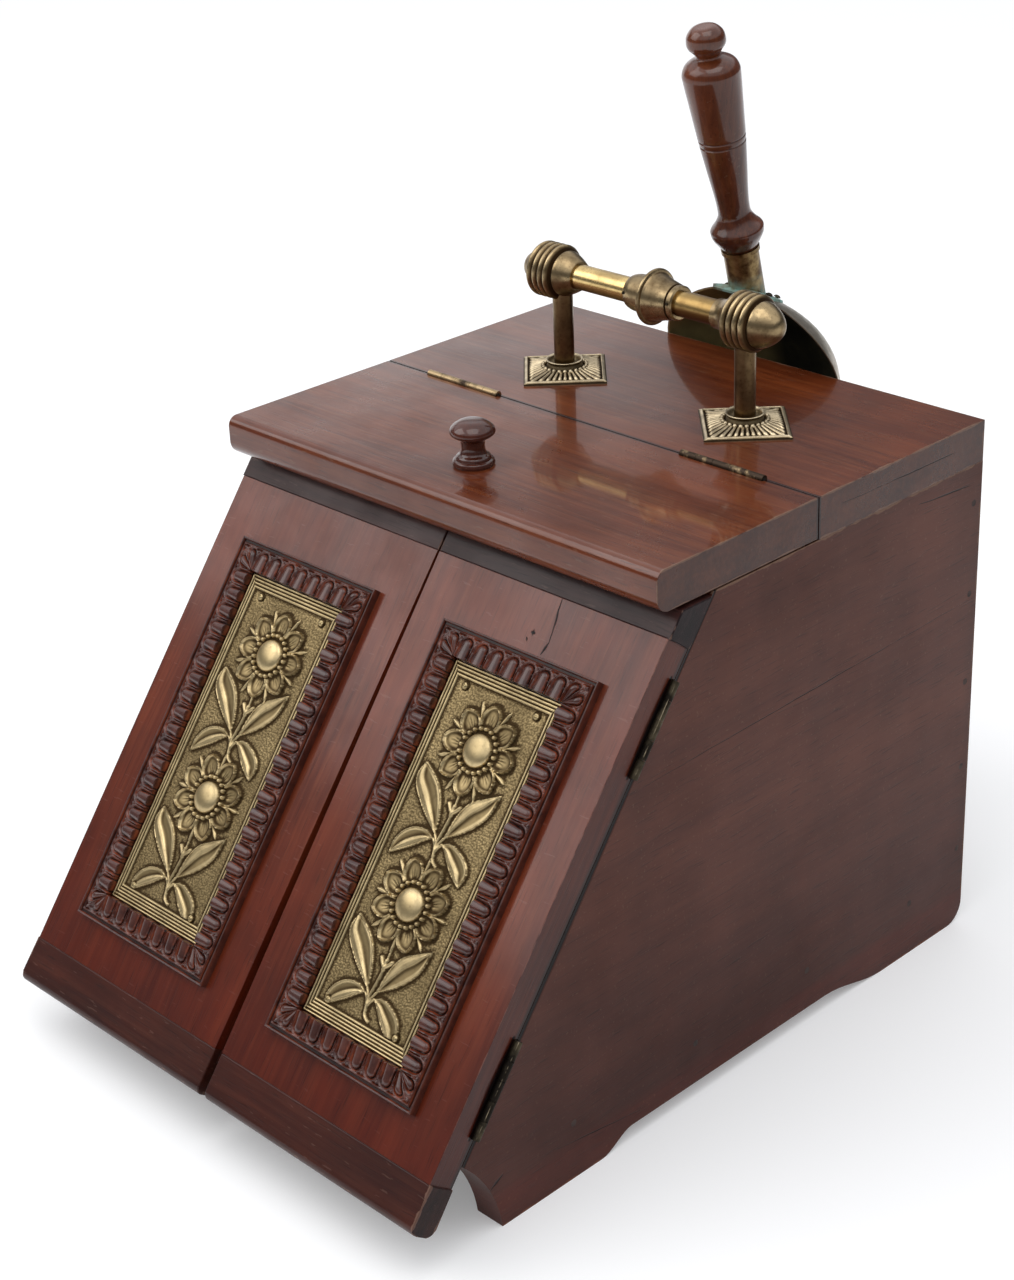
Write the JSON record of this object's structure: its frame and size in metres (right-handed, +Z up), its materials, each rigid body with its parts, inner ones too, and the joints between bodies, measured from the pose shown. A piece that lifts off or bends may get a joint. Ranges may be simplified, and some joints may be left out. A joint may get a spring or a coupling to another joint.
{
  "type": "coal scuttle",
  "caption": "Slope-fronted wooden coal box with a hinged lid, sloping doors with brass plates, a brass carrying handle and a hand scoop in a pocket on the back.",
  "frame": {"origin": "on the floor under the middle of the whole piece", "axes": "+X to the right hand of the doors, +Y to the back where the scoop stands, +Z up"},
  "size_m": [0.3478, 0.55, 0.5414],
  "materials": {
    "mahogany": "glossy polish, worn",
    "dark_mahogany": "dull old polish",
    "deal": "bare, stained",
    "old_brass": "polished, tarnished",
    "dark_brass": "satin, tarnished",
    "black_iron": "matt black"
  },
  "bodies": {
    "box": {"left_side": "dark_mahogany", "right_side": "dark_mahogany", "back_panel": "deal", "floor_board": "deal", "kerb_rail": "deal", "rear_top": "mahogany", "coal_lining": "black_iron", "carcase_nails": "black_iron", "pocket_left_cheek": "deal", "pocket_right_cheek": "deal", "pocket_back_board": "deal", "pocket_shelf": "deal", "left_rosette": "old_brass", "right_rosette": "old_brass", "left_post": "old_brass", "right_post": "old_brass", "handle_bar": "old_brass", "left_boss": "old_brass", "right_boss": "old_brass", "bar_collar": "old_brass", "collar_pins": "dark_brass", "handle_studs": "black_iron", "stud_nuts": "black_iron", "left_lid_hinge_rear_leaf": "dark_brass", "right_lid_hinge_rear_leaf": "dark_brass", "lid_hinge_pins": "black_iron", "left_upper_hinge_side_leaf": "dark_brass", "left_lower_hinge_side_leaf": "dark_brass", "right_upper_hinge_side_leaf": "dark_brass", "right_lower_hinge_side_leaf": "dark_brass", "door_hinge_pins": "black_iron"},
    "lid": {"lid_board": "mahogany", "lid_knob": "mahogany", "left_lid_hinge_front_leaf": "dark_brass", "right_lid_hinge_front_leaf": "dark_brass"},
    "left_door": {"left_door_panel": "mahogany", "left_door_top_clamp": "dark_mahogany", "left_door_bottom_clamp": "dark_mahogany", "left_door_moulding": "dark_mahogany", "left_door_plate": "old_brass", "left_plate_pins": "dark_brass", "left_upper_hinge_door_leaf": "dark_brass", "left_lower_hinge_door_leaf": "dark_brass"},
    "right_door": {"right_door_panel": "mahogany", "right_door_top_clamp": "dark_mahogany", "right_door_bottom_clamp": "dark_mahogany", "right_door_moulding": "dark_mahogany", "right_door_plate": "old_brass", "right_plate_pins": "dark_brass", "right_upper_hinge_door_leaf": "dark_brass", "right_lower_hinge_door_leaf": "dark_brass"},
    "scoop": {"scoop_grip": "mahogany", "scoop_socket": "dark_brass", "scoop_bowl": "dark_brass", "scoop_rivets": "dark_brass"}
  },
  "joints": [
    {"name": "lid_hinge", "type": "hinge", "parent": "box", "child": "lid", "pos_m": [0, 0.04112, 0.3333], "axis": [-1, 0, 0], "range_deg": [0, 101]},
    {"name": "left_door_hinge", "type": "hinge", "parent": "box", "child": "left_door", "pos_m": [-0.1716, -0.15778, 0.16026], "axis": [0, -0.6074, -0.7944], "range_deg": [0, 101]},
    {"name": "right_door_hinge", "type": "hinge", "parent": "box", "child": "right_door", "pos_m": [0.1716, -0.15778, 0.16026], "axis": [0, 0.6074, 0.7944], "range_deg": [0, 101]},
    {"name": "scoop_lift", "type": "slide", "parent": "box", "child": "scoop", "axis": [0, -0.2317, 0.9728], "range_m": [0, 0.2]}
  ],
  "couplings": [
    {"joint": "left_door_hinge", "follows": "lid_hinge", "ratio": 1},
    {"joint": "right_door_hinge", "follows": "lid_hinge", "ratio": 1}
  ]
}
